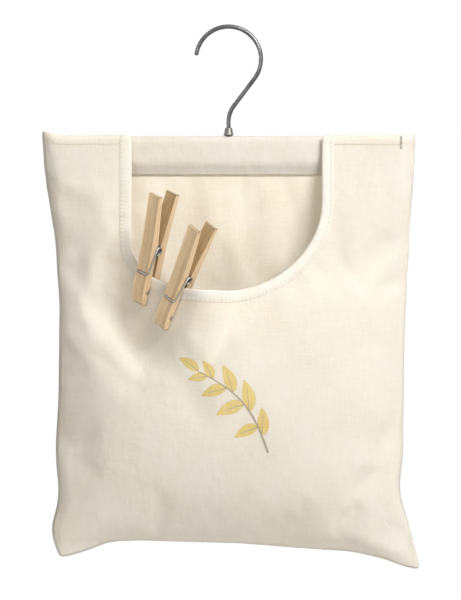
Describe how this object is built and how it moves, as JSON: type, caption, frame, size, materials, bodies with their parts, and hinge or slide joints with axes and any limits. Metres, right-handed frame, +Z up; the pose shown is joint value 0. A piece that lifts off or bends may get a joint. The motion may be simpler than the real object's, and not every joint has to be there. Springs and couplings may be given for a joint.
{
  "type": "peg bag",
  "caption": "Hanging canvas peg bag with a U-shaped bound mouth, a wooden bar in its top casing, a swivelling wire hook and wooden spring pegs clipped to the mouth.",
  "frame": {"origin": "the point inside the hook's crook, at its crown, that bears on the line or rail", "axes": "+Z up along the hook's shank, -Y out of the bag's front, +X to the right seen from the front"},
  "size_m": [0.2756, 0.1122, 0.401],
  "materials": {
    "canvas": "unbleached cotton canvas",
    "binding_tape": "plain cotton tape",
    "bar_wood": "planed",
    "peg_wood": "planed, unvarnished",
    "hook_wire": "bright plated",
    "plated_steel": "zinc plated"
  },
  "bodies": {
    "hook": {"hook": "hook_wire"},
    "bag": {"hook_eyelet": "plated_steel", "hook_washer": "plated_steel", "hanger_bar": "bar_wood", "back_panel": "canvas", "front_panel": "canvas", "mouth_binding": "binding_tape"},
    "peg_1": {"peg_1_back_half": "peg_wood", "peg_1_spring": "plated_steel"},
    "peg_1_lever": {"peg_1_front_half": "peg_wood"},
    "peg_2": {"peg_2_back_half": "peg_wood", "peg_2_spring": "plated_steel"},
    "peg_2_lever": {"peg_2_front_half": "peg_wood"}
  },
  "joints": [
    {"name": "hook_swivel", "type": "hinge", "parent": "hook", "child": "bag", "pos_m": [0, 0, -0.0793], "axis": [0, 0, 1], "continuous": true},
    {"name": "peg_1_pull", "type": "slide", "parent": "bag", "child": "peg_1", "axis": [0.1963, -0.33, 0.9233], "range_m": [0, 0.045]},
    {"name": "peg_1_squeeze", "type": "hinge", "parent": "peg_1", "child": "peg_1_lever", "pos_m": [-0.05457, -0.03708, -0.16397], "axis": [-0.7405, 0.5674, 0.3602], "range_deg": [0, 15], "stiffness_Nm_per_rad": 0.03, "springref_deg": -28.65, "deforming": ["peg_1_spring"]},
    {"name": "peg_2_pull", "type": "slide", "parent": "bag", "child": "peg_2", "axis": [0.3374, -0.4347, 0.835], "range_m": [0, 0.045]},
    {"name": "peg_2_squeeze", "type": "hinge", "parent": "peg_2", "child": "peg_2_lever", "pos_m": [-0.03246, -0.05232, -0.18438], "axis": [-0.6878, 0.4919, 0.5339], "range_deg": [0, 15], "stiffness_Nm_per_rad": 0.03, "springref_deg": -28.65, "deforming": ["peg_2_spring"]}
  ]
}
